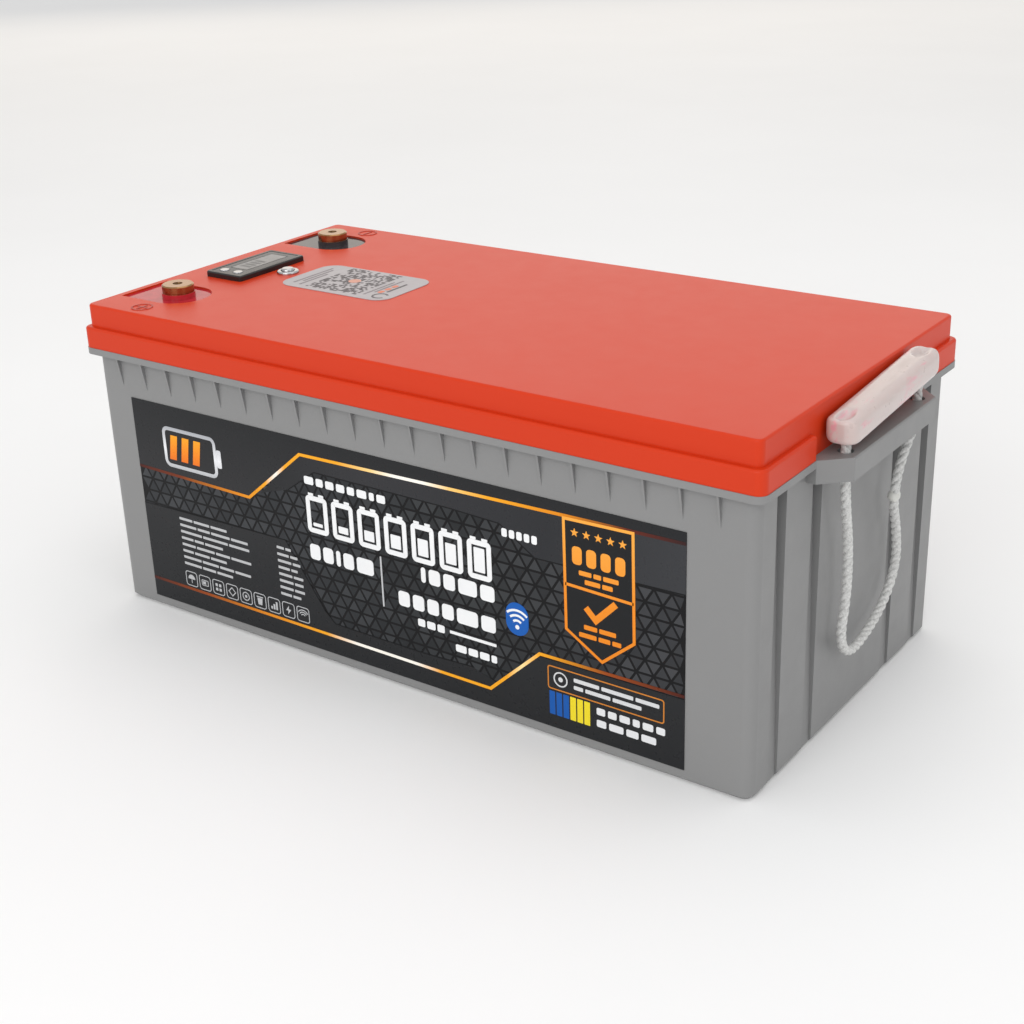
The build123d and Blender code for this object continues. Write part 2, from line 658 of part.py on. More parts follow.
def build():
    """Every node's name and its solid, or its group of solids."""
    leads = power_leads()
    display_lead = [
        (DISPLAY_AT[0] + 6, 14, DISPLAY_BODY_LOW + 5.5),
        (DISPLAY_AT[0] + 7, 15, DISPLAY_BODY_LOW - 5),
        (DISPLAY_AT[0] + 22, 17, DISPLAY_BODY_LOW - 10),
        (DISPLAY_AT[0] + 52, 21, DISPLAY_BODY_LOW - 11),
        (DISPLAY_AT[0] + 100, 15, DISPLAY_BODY_LOW - 12),
        (DISPLAY_AT[0] + 145, 10, BOARD_TOP + 8),
        (DISPLAY_AT[0] + 173, 6, BOARD_TOP + 4),
    ]
    nodes = {
        "container": container(),
        "lid": lid(),
        "lid_gasket": gasket_ring(FLANGE_TOP - 2, FLANGE_TOP),
        "positive_terminal": terminal(POSITIVE),
        "negative_terminal": terminal(NEGATIVE),
        "positive_well_potting": potting(POSITIVE),
        "negative_well_potting": potting(NEGATIVE),
        "positive_terminal_ring": tube(POSITIVE, RING_RADIUS, POST_NECK_RADIUS, POTTING_TOP, RING_TOP),
        "negative_terminal_ring": tube(NEGATIVE, RING_RADIUS, POST_NECK_RADIUS, POTTING_TOP, RING_TOP),
        "terminal_nuts": terminal_nuts(),
        "display_housing": display_housing(),
        "display_window": display_window(),
        "display_lcd": slab(LCD_SIZE[0] - 0.2, LCD_SIZE[1] - 0.2, DISPLAY_TOP - 4, DISPLAY_TOP - 1.2,
                            0.8, lcd_centre()),
        "display_board": display_board(),
        "power_button_bezel": power_bezel(),
        "power_button_cap": power_cap(),
        "power_button_nut": hex_nut(POWER_AT, 17, POWER_BARREL_RADIUS, LID_TOP - LID_SKIN - 3,
                                    LID_TOP - LID_SKIN),
        "power_button_switch": power_switch(),
        "top_label": slab(TOP_LABEL[2], TOP_LABEL[3], LID_TOP, LID_TOP + LABEL_THICK, 12, TOP_LABEL[:2]),
        "front_label": front_label(),
        "cell_poles": cell_poles(),
        "cell_busbars": busbars(),
        "cell_pole_nuts": pole_nuts(),
        "cell_spacers": spacers(),
        "end_plate_right": end_plate(),
        "end_plate_left": turned(end_plate()),
        "tie_rods": tie_rods(),
        "tie_rod_nuts": rod_nuts(),
        "base_pad": block((-STACK_HALF, -CELL_WIDTH / 2, FLOOR), (STACK_HALF, CELL_WIDTH / 2, CELL_BASE)),
        "foam_pads": foam_pads(),
        "bms_tray": bms_tray(),
        "bms_board": bms_board(),
        "bms_heatsink": bms_heatsink(),
        "bms_screws": bms_screws(),
        "bluetooth_module": slab(30, 16, TRAY_TOP, TRAY_TOP + 3, 1, (BMS_CENTRE[0] - 40, 20)),
        "balance_harness": balance_harness(),
        "temperature_probe": rod_along_x(-30, CELL_TOP + 2.5, 2.5, -4, 10),
        "positive_lead": leads[0],
        "board_lead": leads[1],
        "negative_lead": leads[2],
        "cable_lugs": cable_lugs(leads),
        "display_lead": round_tube(display_lead, 4.0),
    }
    for index in range(CELL_COUNT):
        nodes[f"cell_{index + 1}"] = cell(index)
    for name, at in KEYS.items():
        nodes[f"display_button_{name}"] = display_key(at)
    loop = {"rope_loop": round_tube(LOOP_ROUTE, ROPE_DIAMETER), "rope_splice": splice()}
    for name, solid in loop.items():
        nodes[f"{name}_right"] = solid
        nodes[f"{name}_left"] = turned(solid)
    nodes["handle_grip_right"] = grip(**RAISED_GRIP)
    nodes["rope_core_right"] = rope_core(**RAISED_GRIP, diameter=ROPE_DIAMETER)
    nodes["handle_grip_left"] = turned(grip(**RESTING_GRIP))
    nodes["rope_core_left"] = turned(rope_core(**RESTING_GRIP, diameter=ROPE_DIAMETER))
    return nodes


def save(nodes):
    """Write each node to its own file."""
    os.makedirs("parts", exist_ok=True)
    for name, shape in nodes.items():
        solid = Compound(children=shape) if isinstance(shape, list) else shape
        export_step(solid, f"parts/{name}.step")
    print(f"{len(nodes)} nodes")


print("loop radii", [round(radius, 1) for radius in corner_radii(LOOP_ROUTE)])
save(build())
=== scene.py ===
import json
import math
import random

import bmesh
import bpy
from mathutils import Matrix, Vector


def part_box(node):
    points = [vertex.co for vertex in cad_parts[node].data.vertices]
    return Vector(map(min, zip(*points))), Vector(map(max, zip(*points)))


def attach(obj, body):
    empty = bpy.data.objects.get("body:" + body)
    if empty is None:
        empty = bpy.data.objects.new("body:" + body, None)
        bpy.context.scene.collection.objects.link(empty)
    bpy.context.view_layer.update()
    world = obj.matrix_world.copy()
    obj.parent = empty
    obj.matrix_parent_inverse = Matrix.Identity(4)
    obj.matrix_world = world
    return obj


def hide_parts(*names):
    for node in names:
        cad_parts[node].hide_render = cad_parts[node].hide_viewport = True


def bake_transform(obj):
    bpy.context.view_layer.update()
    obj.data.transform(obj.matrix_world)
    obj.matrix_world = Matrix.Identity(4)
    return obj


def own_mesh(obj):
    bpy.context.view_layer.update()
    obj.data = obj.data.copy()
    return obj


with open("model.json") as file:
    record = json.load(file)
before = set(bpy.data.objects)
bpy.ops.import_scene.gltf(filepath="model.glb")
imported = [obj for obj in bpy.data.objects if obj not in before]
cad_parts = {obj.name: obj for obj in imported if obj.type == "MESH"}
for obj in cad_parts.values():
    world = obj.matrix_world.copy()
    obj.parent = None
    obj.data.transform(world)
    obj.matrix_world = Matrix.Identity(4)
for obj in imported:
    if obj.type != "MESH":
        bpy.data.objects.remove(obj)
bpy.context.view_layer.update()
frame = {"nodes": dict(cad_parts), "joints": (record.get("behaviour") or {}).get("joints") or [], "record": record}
MM = 0.001
JOINTS = {joint["name"]: joint for joint in frame["joints"]}


# ---------------------------------------------------------------- camera, floor and lights

CAMERA_PLACE = (0.6098, -0.8319, 0.5231)
CAMERA_YAW = -36.16
CAMERA_PITCH = -23.43
CAMERA_ROLL = -2.0
CAMERA_LENS = 57.06
SENSOR_WIDTH = 36
VIEW_DEPTH = 50
SURROUND_STRENGTH = 0.75
FLOOR_REACH = 9
FLOOR_COLOUR = (0.93, 0.93, 0.93)
# Name, place, target, size, power and colour of each light
LIGHTS = [
    ("key", (0.45, -2.6, 1.6), (0, 0, 0.1), (2.4, 1.4), 30, (1, 1, 1)),
    ("overhead", (0.1, 0.3, 2.2), (0, 0, 0.1), (1.8, 1.8), 8, (1, 1, 1)),
    ("side", (2.2, -0.2, 0.9), (0.2, 0, 0.1), (1.0, 1.2), 3, (1, 1, 1)),
    ("back", (-2.3, 3.0, 1.4), (0, 0, 0.2), (4.0, 1.8), 13, (1.0, 0.86, 0.68)),
]


def make_camera():
    """The camera stands off the front right corner and looks down on the lid."""
    yaw, pitch, roll = (math.radians(a) for a in (CAMERA_YAW, CAMERA_PITCH, CAMERA_ROLL))
    ahead = Vector((math.sin(yaw) * math.cos(pitch), math.cos(yaw) * math.cos(pitch), math.sin(pitch)))
    level = Vector((math.cos(yaw), -math.sin(yaw), 0))
    above = level.cross(ahead)
    right = math.cos(roll) * level + math.sin(roll) * above
    up = math.cos(roll) * above - math.sin(roll) * level
    data = bpy.data.cameras.new("camera")
    data.lens = CAMERA_LENS
    data.sensor_width = SENSOR_WIDTH
    data.clip_end = VIEW_DEPTH
    camera = bpy.data.objects.new("camera", data)
    turn = Matrix((right, up, -ahead)).transposed()
    camera.matrix_world = Matrix.Translation(CAMERA_PLACE) @ turn.to_4x4()
    bpy.context.scene.collection.objects.link(camera)
    bpy.context.scene.camera = camera


def area_light(name, place, target, size, power, colour):
    """A rectangular light that the camera doesn't see."""
    data = bpy.data.lights.new(name, "AREA")
    data.shape = "RECTANGLE"
    data.size, data.size_y = size
    data.energy = power
    data.color = colour
    light = bpy.data.objects.new(name, data)
    light.location = place
    light.rotation_euler = (Vector(target) - Vector(place)).to_track_quat("-Z", "Y").to_euler()
    light.visible_camera = False
    bpy.context.scene.collection.objects.link(light)


def make_stage():
    """A pale floor, a white surround and four soft lights."""
    world = bpy.data.worlds.new("studio")
    world.use_nodes = True
    background = world.node_tree.nodes["Background"]
    background.inputs["Color"].default_value = (1, 1, 1, 1)
    background.inputs["Strength"].default_value = SURROUND_STRENGTH
    bpy.context.scene.world = world
    bpy.context.scene.view_settings.view_transform = "Standard"
    corners = [(x * FLOOR_REACH, y * FLOOR_REACH, 0) for x, y in ((-1, -1), (1, -1), (1, 1), (-1, 1))]
    floor = mesh_object("floor", corners, [(0, 1, 2, 3)])
    floor.data.materials.append(plain("floor_paint", FLOOR_COLOUR, 0.9))
    for light in LIGHTS:
        area_light(*light)


# ---------------------------------------------------------------- mesh helpers

def mesh_object(name, points, faces, smooth=False):
    """A mesh object in the scene, flat or smooth shaded."""
    mesh = bpy.data.meshes.new(name)
    mesh.from_pydata([tuple(p) for p in points], [], faces)
    if smooth:
        mesh.polygons.foreach_set("use_smooth", [True] * len(mesh.polygons))
    mesh.update()
    piece = bpy.data.objects.new(name, mesh)
    bpy.context.scene.collection.objects.link(piece)
    return piece


def closed_tube(rows, ring):
    """The faces of a tube with rows + 1 rings of points, closed at both ends."""
    faces = []
    for i in range(rows):
        for k in range(ring):
            a = i * ring + k
            b = i * ring + (k + 1) % ring
            faces.append((a, a + ring, b + ring, b))
    faces.append(tuple(range(ring)))
    faces.append(tuple(rows * ring + k for k in range(ring))[::-1])
    return faces


def finish_piece(piece, material, body="root"):
    """Give a piece its material and the body that it rides on."""
    piece.data.materials.append(material)
    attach(piece, body)


# ---------------------------------------------------------------- material helpers

def linear(red, green, blue):
    """A screen colour from 0 to 255 as linear light."""
    def channel(value):
        share = value / 255
        return share / 12.92 if share <= 0.04045 else ((share + 0.055) / 1.055) ** 2.4
    return (channel(red), channel(green), channel(blue))


class Shader:
    """A principled material with a few named building blocks."""

    def __init__(self, name):
        self.material = bpy.data.materials.new(name)
        self.material.use_nodes = True
        self.tree = self.material.node_tree
        self.surface = self.tree.nodes["Principled BSDF"]
        self.place = self.tree.nodes.new("ShaderNodeTexCoord").outputs["Object"]

    def set(self, **sockets):
        for name, value in sockets.items():
            self.surface.inputs[name.replace("_", " ")].default_value = value
        return self

    def link(self, output, socket):
        self.tree.links.new(output, self.surface.inputs[socket])
        return self

    def node(self, kind, **inputs):
        made = self.tree.nodes.new(kind)
        for name, value in inputs.items():
            socket = made.inputs[name.replace("_", " ")]
            if isinstance(value, bpy.types.NodeSocket):
                self.tree.links.new(value, socket)
            else:
                socket.default_value = value
        return made

    def noise(self, scale, detail=4.0, roughness=0.55, stretch=(1, 1, 1)):
        mapping = self.node("ShaderNodeMapping", Vector=self.place, Scale=stretch)
        noise = self.node("ShaderNodeTexNoise", Vector=mapping.outputs[0], Scale=scale, Detail=detail,
                          Roughness=roughness)
        return noise.outputs["Fac"]

    def ramp(self, factor, *stops):
        """A colour ramp; each stop is a place and a colour or a grey."""
        ramp = self.node("ShaderNodeValToRGB", Fac=factor)
        elements = ramp.color_ramp.elements
        while len(elements) < len(stops):
            elements.new(0.5)
        for element, (place, colour) in zip(elements, stops):
            element.position = place
            element.color = (*colour, 1) if hasattr(colour, "__len__") else (colour, colour, colour, 1)
        return ramp.outputs["Color"]

    def bump(self, height, strength, distance):
        previous = self.surface.inputs["Normal"].links
        bump = self.node("ShaderNodeBump", Height=height, Strength=strength, Distance=distance)
        if previous:
            self.tree.links.new(previous[0].from_socket, bump.inputs["Normal"])
        return self.link(bump.outputs["Normal"], "Normal")


def plain(name, colour, roughness):
    shader = Shader(name).set(Base_Color=(*colour, 1), Roughness=roughness)
    tint = tuple(0.97 * c for c in colour)
    shader.link(shader.ramp(shader.noise(1.5), (0.3, tint), (0.7, colour)), "Base Color")
    return shader.material


def moulded(name, colour, roughness=0.42, grain=0.25, mottling=0.05, specular=0.5, uneven=0.05):
    """Moulded plastic: a fine eroded grain, faint flow marks and uneven gloss."""
    shader = Shader(name).set(Specular_IOR_Level=specular)
    darker = tuple(c * (1 - mottling) for c in colour)
    lighter = tuple(min(1, c * (1 + mottling)) for c in colour)
    shader.link(shader.ramp(shader.noise(9, 5), (0.3, darker), (0.7, lighter)), "Base Color")
    shader.link(shader.ramp(shader.noise(60, 3), (0.3, roughness - uneven), (0.7, roughness + uneven)),
                "Roughness")
    shader.bump(shader.noise(14, 2), 0.02, 0.0008)
    shader.bump(shader.noise(2600, 2), grain, 0.00006)
    return shader.material


def metal(name, colour, roughness, scratches=0.2, rings=0.0):
    """Metal with fine scratches, and turned rings if it was made on a lathe."""
    shader = Shader(name).set(Metallic=1.0)
    darker = tuple(c * 0.92 for c in colour)
    shader.link(shader.ramp(shader.noise(90, 2), (0.35, darker), (0.65, colour)), "Base Color")
    shader.link(shader.ramp(shader.noise(200, 1, stretch=(1, 1, 9)), (0.3, roughness * 0.85),
                            (0.7, roughness * 1.15)), "Roughness")
    shader.bump(shader.noise(900, 3, stretch=(1, 1, 12)), scratches, 0.00005)
    if rings:
        shader.bump(shader.noise(60, 1, stretch=(0.1, 0.1, 60)), rings, 0.00015)
    return shader.material


def glossy(name, colour, roughness=0.08, coat=0.6, wave=0.15, specular=0.5):
    """Poured or polished plastic with a gently uneven surface."""
    shader = Shader(name).set(Coat_Weight=coat, Coat_Roughness=0.04, Specular_IOR_Level=specular)
    lighter = tuple(min(1, c * 1.25 + 0.004) for c in colour)
    shader.link(shader.ramp(shader.noise(120, 3), (0.35, colour), (0.65, lighter)), "Base Color")
    shader.link(shader.ramp(shader.noise(90, 2), (0.3, roughness), (0.7, roughness + 0.06)), "Roughness")
    shader.bump(shader.noise(70, 1), wave, 0.0006)
    return shader.material


def printed(name, colour, roughness=0.34, spread=0.06, specular=0.5):
    """Printed film with a faint orange-peel surface."""
    shader = Shader(name).set(Specular_IOR_Level=specular)
    darker = tuple(c * (1 - spread) for c in colour)
    shader.link(shader.ramp(shader.noise(30, 4), (0.3, darker), (0.7, colour)), "Base Color")
    shader.link(shader.ramp(shader.noise(300, 2), (0.3, roughness - 0.04), (0.7, roughness + 0.05)),
                "Roughness")
    shader.bump(shader.noise(500, 1), 0.02, 0.00005)
    return shader.material


make_camera()


# ---------------------------------------------------------------- rope and grips

ROPE_WIDTH = 6.0 * MM
STRANDS = 3
STRAND_RADIUS = ROPE_WIDTH * 0.292
STRAND_OFFSET = ROPE_WIDTH * 0.208
STRAND_SIDES = 16
YARNS, YARN_HEIGHT, YARN_TWIST = 7, 0.02, 2.2
LAY_LENGTH = 16.5 * MM
LOOP_STEP = 0.6 * MM
RISER_FOOT, RISER_INTO_GRIP = 0.1762, 0.012
PACKED_FROM, PACKED_TO = 0.178, 0.1925
RISER_TRIALS, RISER_STEP = 4000, 0.5 * MM
KNOB_ROWS, KNOB_RING, KNOB_LUMPS, KNOB_SEED = 22, 28, 9, 5
KNOB_SIZE, KNOB_LENGTH, LUMP_SHARPNESS = 0.60, 0.9, 6
POLE_GAP = 0.02
LOOP_ROUTE = [
    (268.0, -50.0, 190.0),
    (268.0, -48.0, 164.0),
    (266.0, -35.0, 130.0),
    (265.0, -31.0, 96.0),
    (264.0, -36.0, 66.0),
    (264.0, -22.0, 50.0),
    (264.0, 6.0, 54.0),
    (264.0, 31.0, 66.0),
    (264.0, 45.0, 86.0),
    (265.0, 38.0, 112.0),
    (266.0, 27.0, 134.0),
    (267.0, 33.0, 158.0),
    (268.0, 49.5, 176.0),
    (268.0, 50.0, 190.0),
]


def spline_points(name, route):
    """The points of a smooth spline with the route as its control points."""
    curve = bpy.data.curves.new(name, "CURVE")
    curve.dimensions = "3D"
    curve.resolution_u = 24
    spline = curve.splines.new("NURBS")
    spline.points.add(len(route) - 1)
    for point, place in zip(spline.points, route):
        point.co = (*place, 1)
    spline.order_u = 3
    spline.use_endpoint_u = True
    guide = bpy.data.objects.new(name, curve)
    mesh = bpy.data.meshes.new_from_object(guide)
    points = [vertex.co.copy() for vertex in mesh.vertices]
    bpy.data.meshes.remove(mesh)
    bpy.data.objects.remove(guide)
    bpy.data.curves.remove(curve)
    return points


def evenly(points, step):
    """The line again with points a step apart."""
    along = [0.0]
    for a, b in zip(points, points[1:]):
        along.append(along[-1] + (b - a).length)
    count = max(2, math.ceil(along[-1] / step))
    made, i = [], 0
    for k in range(count + 1):
        at = along[-1] * k / count
        while i < len(along) - 2 and along[i + 1] < at:
            i += 1
        made.append(points[i].lerp(points[i + 1], (at - along[i]) / max(along[i + 1] - along[i], 1e-12)))
    return made, along[-1]


def laid_rope(name, line, phases):
    """Three strands laid round a line; phases says how far the lay has turned at each point."""
    sides = STRAND_SIDES
    normal = (line[1] - line[0]).orthogonal().normalized()
    frames = []
    for i, point in enumerate(line):
        ahead = line[min(i + 1, len(line) - 1)] - line[max(i - 1, 0)]
        ahead.normalize()
        normal = (normal - ahead * normal.dot(ahead)).normalized()
        frames.append((point, ahead, normal, ahead.cross(normal)))
    points, faces = [], []
    for strand in range(STRANDS):
        start = len(points)
        middles = []
        for (point, _, across, beside), phase in zip(frames, phases):
            angle = phase + strand * 2 * math.pi / STRANDS
            middles.append(point + STRAND_OFFSET * (math.cos(angle) * across + math.sin(angle) * beside))
        for i, (point, *_) in enumerate(frames):
            run = (middles[min(i + 1, len(line) - 1)] - middles[max(i - 1, 0)]).normalized()
            out = (middles[i] - point).normalized()
            out = (out - run * out.dot(run)).normalized()
            side = run.cross(out)
            for k in range(sides):
                turn = 2 * math.pi * k / sides
                yarn = 1 + YARN_HEIGHT * math.cos(YARNS * turn - YARN_TWIST * phases[i])
                way = math.cos(turn) * out + math.sin(turn) * side
                points.append(middles[i] + STRAND_RADIUS * yarn * way)
        for i in range(len(line) - 1):
            for k in range(sides):
                a = start + i * sides + k
                b = start + i * sides + (k + 1) % sides
                faces.append((a, b, b + sides, a + sides))
        faces.append(tuple(start + k for k in range(sides))[::-1])
        faces.append(tuple(start + (len(line) - 1) * sides + k for k in range(sides)))
    return mesh_object(name, points, faces, smooth=True)


def rope_material():
    """White nylon: fine fibres along the strands and a little dirt between them."""
    shader = Shader("rope_nylon").set(Sheen_Weight=0.25, Sheen_Roughness=0.5)
    light, dirt = linear(214, 214, 212), linear(170, 170, 168)
    shader.link(shader.ramp(shader.noise(700, 4), (0.25, dirt), (0.62, light)), "Base Color")
    shader.link(shader.ramp(shader.noise(500, 2), (0.3, 0.55), (0.7, 0.75)), "Roughness")
    shader.bump(shader.noise(2400, 4, stretch=(1, 1, 0.35)), 0.5, 0.0002)
    return shader.material


def grip_material():
    """Translucent milky plastic with faint rosy streaks along its length, a painted reflection of the red lid."""
    shader = Shader("grip_milky").set(Subsurface_Weight=0.5, Subsurface_Scale=0.004, Coat_Weight=0.75,
                                      Coat_Roughness=0.06)
    shader.surface.inputs["Subsurface Radius"].default_value = (1.0, 0.75, 0.7)
    # The rosy end of the streak ramp is a painted reflection of the red lid; the warm and pearl colours are the
    # plastic's own tone.
    pearl, red_lid_reflection, warm = linear(198, 182, 178), linear(212, 158, 165), linear(184, 168, 162)
    reflection_streaks = shader.noise(120, 4, stretch=(1, 0.22, 1))
    shader.link(shader.ramp(reflection_streaks, (0.30, warm), (0.46, pearl), (0.59, pearl), (0.67, red_lid_reflection)), "Base Color")
    shader.link(shader.ramp(shader.noise(220, 3), (0.3, 0.26), (0.7, 0.42)), "Roughness")
    shader.bump(shader.noise(110, 1), 0.15, 0.0004)
    return shader.material


GRIP_TILT = {"right": 4.0, "left": 0.0}
GRIP_HALF = Vector((10.25, 61.5, 8.25)) * MM
GRIP_ROWS, GRIP_RING = 170, 72
GRIP_SLACK = 0.5 * MM
END_ROUNDING = {"side": 7.0 * MM, "top": 3.0 * MM, "foot": 2.4 * MM}
END_CUT_LENGTH, END_CUT_RISE, END_CUT_POWER = 9.5 * MM, 2.2 * MM, 1.25
FLATNESS_ACROSS, FLATNESS_UP = 0.44, 0.50
UNDERSIDE_TAPER = 0.08
DIMPLE_AT, DIMPLE_DEPTH, DIMPLE_EDGE = 51.5 * MM, 2.5 * MM, 3.0
DIMPLE_HALF_WIDTH, DIMPLE_HALF_LENGTH = 4.0 * MM, 7.6 * MM


def make_grip(side):
    """A moulded bar with cut corners and a shallow dimple over each rope hole."""
    low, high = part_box(f"handle_grip_{side}")
    tilt = math.radians(GRIP_TILT[side])
    middle = (low + high) / 2
    half, rows, ring = GRIP_HALF, GRIP_ROWS, GRIP_RING
    points = []

    def rounding(from_end, where):
        radius = END_ROUNDING[where]
        lack = max(0.0, 1 - from_end / radius)
        return radius * (1 - math.sqrt(max(0.0, 1 - lack ** 2)))

    for i in range(rows + 1):
        y = math.sin((-1 + 2 * i / rows) * math.pi / 2) * half.y
        from_end = half.y - abs(y)
        wide = half.x - rounding(from_end, "side") - GRIP_SLACK
        top = half.z - rounding(from_end, "top")
        rise = max(0.0, 1 - from_end / END_CUT_LENGTH)
        foot = -half.z + END_CUT_RISE * rise ** END_CUT_POWER + rounding(from_end, "foot")
        middle_z, half_z = (top + foot) / 2, (top - foot) / 2
        for k in range(ring):
            turn = 2 * math.pi * k / ring
            c, s = math.cos(turn), math.sin(turn)
            x = math.copysign(abs(c) ** FLATNESS_ACROSS, c) * wide
            z = middle_z + math.copysign(abs(s) ** FLATNESS_UP, s) * half_z
            if s < 0:
                x *= 1 - UNDERSIDE_TAPER * s * s
            else:
                for end in (-1, 1):
                    beside = (y - end * DIMPLE_AT) / DIMPLE_HALF_LENGTH
                    away = (x / DIMPLE_HALF_WIDTH) ** 2 + beside ** 2
                    z -= DIMPLE_DEPTH * math.exp(-away ** DIMPLE_EDGE) * s
            place = Vector((x, y, z))
            place.rotate(Matrix.Rotation(tilt, 3, "X"))
            points.append(middle + place)
    faces = closed_tube(rows, ring)
    grip = mesh_object(f"grip_bar_{side}", points, faces, smooth=True)
    finish_piece(grip, MILKY, f"handle_{side}")
    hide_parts(f"handle_grip_{side}")


def make_rope(side):
    """The hanging loop and the two runs up into the grip."""
    sign = 1 if side == "right" else -1
    route = [(sign * x * MM, sign * y * MM, z * MM) for x, y, z in LOOP_ROUTE]
    line, length = evenly(spline_points(f"loop_guide_{side}", route), LOOP_STEP)
    turns = [2 * math.pi * length * i / (len(line) - 1) / LAY_LENGTH for i in range(len(line))]
    loop = laid_rope(f"hanging_rope_{side}", line, turns)
    finish_piece(loop, NYLON, "root")
    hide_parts(f"rope_loop_{side}")
    joint = f"handle_{side}_lift"
    lift = JOINTS[joint]["range_m"][1]
    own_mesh(loop)
    splice = make_splice(side, line)
    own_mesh(splice)
    for end, name in ((-1, "near"), (1, "far")):
        make_riser(side, route[0 if end * sign < 0 else -1], f"{name}_{side}", lift)


def make_riser(side, hole, name, lift):
    """A straight run of rope through the bracket. Its lay and rings are packed in the hole."""
    low, high = RISER_FOOT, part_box(f"handle_grip_{side}")[0].z + RISER_INTO_GRIP
    start, end = PACKED_FROM, PACKED_TO

    def lifted(z):
        share = min(1, max(0, (z - start) / (end - start)))
        return z + lift * share * share * (3 - 2 * share)

    heights = [low + (high - low) * i / RISER_TRIALS for i in range(RISER_TRIALS + 1)]
    rings, wanted = [], lifted(low)
    for z in heights:
        if lifted(z) >= wanted:
            rings.append(z)
            wanted += RISER_STEP
    line = [Vector((hole[0], hole[1], z)) for z in rings]
    turns = [2 * math.pi * (lifted(high) - lifted(z)) / LAY_LENGTH for z in rings]
    riser = laid_rope(f"rope_riser_{name}", line, turns)
    riser.data.materials.append(NYLON)
    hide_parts(f"rope_core_{side}")
    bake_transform(riser)


def make_splice(side, line):
    """The melted knob where the rope's two ends were fused."""
    low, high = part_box(f"rope_splice_{side}")
    middle = (low + high) / 2
    nearest = min(range(2, len(line) - 2), key=lambda i: (line[i] - middle).length)
    ahead = (line[nearest + 1] - line[nearest - 1]).normalized()
    rng = random.Random(KNOB_SEED)
    lumps = [(Vector((rng.uniform(-1, 1), rng.uniform(-1, 1), rng.uniform(-1, 1))).normalized(),
              rng.uniform(0.05, 0.22)) for _ in range(KNOB_LUMPS)]
    rows, ring = KNOB_ROWS, KNOB_RING
    points = []
    across = ahead.orthogonal().normalized()
    beside = ahead.cross(across)
    for i in range(rows + 1):
        lean = math.pi * (i + POLE_GAP) / (rows + 2 * POLE_GAP)
        for k in range(ring):
            turn = 2 * math.pi * k / ring
            way = (ahead * math.cos(lean) * KNOB_LENGTH + math.sin(lean)
                   * (across * math.cos(turn) + beside * math.sin(turn)))
            size = 1.0
            for lump, much in lumps:
                size += much * max(0.0, way.normalized().dot(lump)) ** LUMP_SHARPNESS
            points.append(line[nearest] + way * size * ROPE_WIDTH * KNOB_SIZE)
    faces = closed_tube(rows, ring)
    knob = mesh_object(f"rope_knob_{side}", points, faces, smooth=True)
    finish_piece(knob, MELTED, "root")
    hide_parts(f"rope_splice_{side}")
    return knob


NYLON = rope_material()
MELTED = glossy("rope_melted", linear(205, 205, 200), 0.3, 0.2, 0.3)
MILKY = grip_material()
for end in ("right", "left"):
    make_rope(end)
    make_grip(end)


# ---------------------------------------------------------------- printed artwork

FRONT_FACE = -128.4
TOP_FACE = 222.4
LABEL_LEFT, LABEL_RIGHT, LABEL_BASE, LABEL_TOP = -225.5, 212.5, 8.5, 159.5
FAN = 6
LABEL_GLOSS = 0.16
STAR_WAIST = 0.42
MITRE_LIMIT = 0.3
# Height of each layer of ink over the front label, in mm, so that no two faces coincide
PATTERN, PANEL, EDGE, GROUND, PALE, BRIGHT, BADGE, SYMBOL = 0.07, 0.16, 0.2, 0.22, 0.26, 0.3, 0.32, 0.36
# Foot and height of the ink over the top label, then over the display
TOP_FOOT, TOP_INK, TOP_OVER = 0.02, 0.06, 0.1
LCD_FOOT, LCD_INK, LCD_OVER_FOOT, LCD_OVER = 3.38, 3.44, 3.45, 3.47


def on_front(x, z, lift):
    return Vector((x, FRONT_FACE - lift, z)) * MM


def on_top(x, y, lift):
    return Vector((x, y, TOP_FACE + lift)) * MM


def decal(name, outlines, material, lift, place=on_front, sink=0.04):
    """Thin plates of ink, one for each outline, on the front or the top label."""
    points, faces = [], []
    for outline in outlines:
        start, count = len(points), len(outline)
        for height in (sink, lift):
            points += [place(a, b, height) for a, b in outline]
        faces.append(tuple(range(start, start + count)))
        faces.append(tuple(range(start + count, start + 2 * count))[::-1])
        for k in range(count):
            a, b = start + k, start + (k + 1) % count
            faces.append((b, a, a + count, b + count))
    piece = mesh_object(name, points, faces)
    work = bmesh.new()
    work.from_mesh(piece.data)
    bmesh.ops.recalc_face_normals(work, faces=work.faces)
    work.to_mesh(piece.data)
    work.free()
    finish_piece(piece, material, "root")


def arc(x, z, radius, start, end, steps):
    turns = [math.radians(start + (end - start) * k / steps) for k in range(steps + 1)]
    return [(x + radius * math.cos(t), z + radius * math.sin(t)) for t in turns]


def rounded(x0, x1, z0, z1, radius):
    """A rounded rectangle."""
    radius = min(radius, (x1 - x0) / 2 - 0.01, (z1 - z0) / 2 - 0.01)
    outline = arc(x1 - radius, z0 + radius, radius, -90, 0, FAN)
    outline += arc(x1 - radius, z1 - radius, radius, 0, 90, FAN)
    outline += arc(x0 + radius, z1 - radius, radius, 90, 180, FAN)
    return outline + arc(x0 + radius, z0 + radius, radius, 180, 270, FAN)


def stroke(line, width):
    """An open line with mitred corners as an outline."""
    sides = ([], [])
    for i, (x, z) in enumerate(line):
        before = Vector(line[i]) - Vector(line[max(i - 1, 0)])
        after = Vector(line[min(i + 1, len(line) - 1)]) - Vector(line[i])
        before, after = (before if before.length else after), (after if after.length else before)
        before.normalize()
        after.normalize()
        along = (before + after).normalized()
        reach = width / 2 / max(MITRE_LIMIT, along.dot(before))
        sides[0].append((x - along.y * reach, z + along.x * reach))
        sides[1].append((x + along.y * reach, z - along.x * reach))
    return sides[0] + sides[1][::-1]


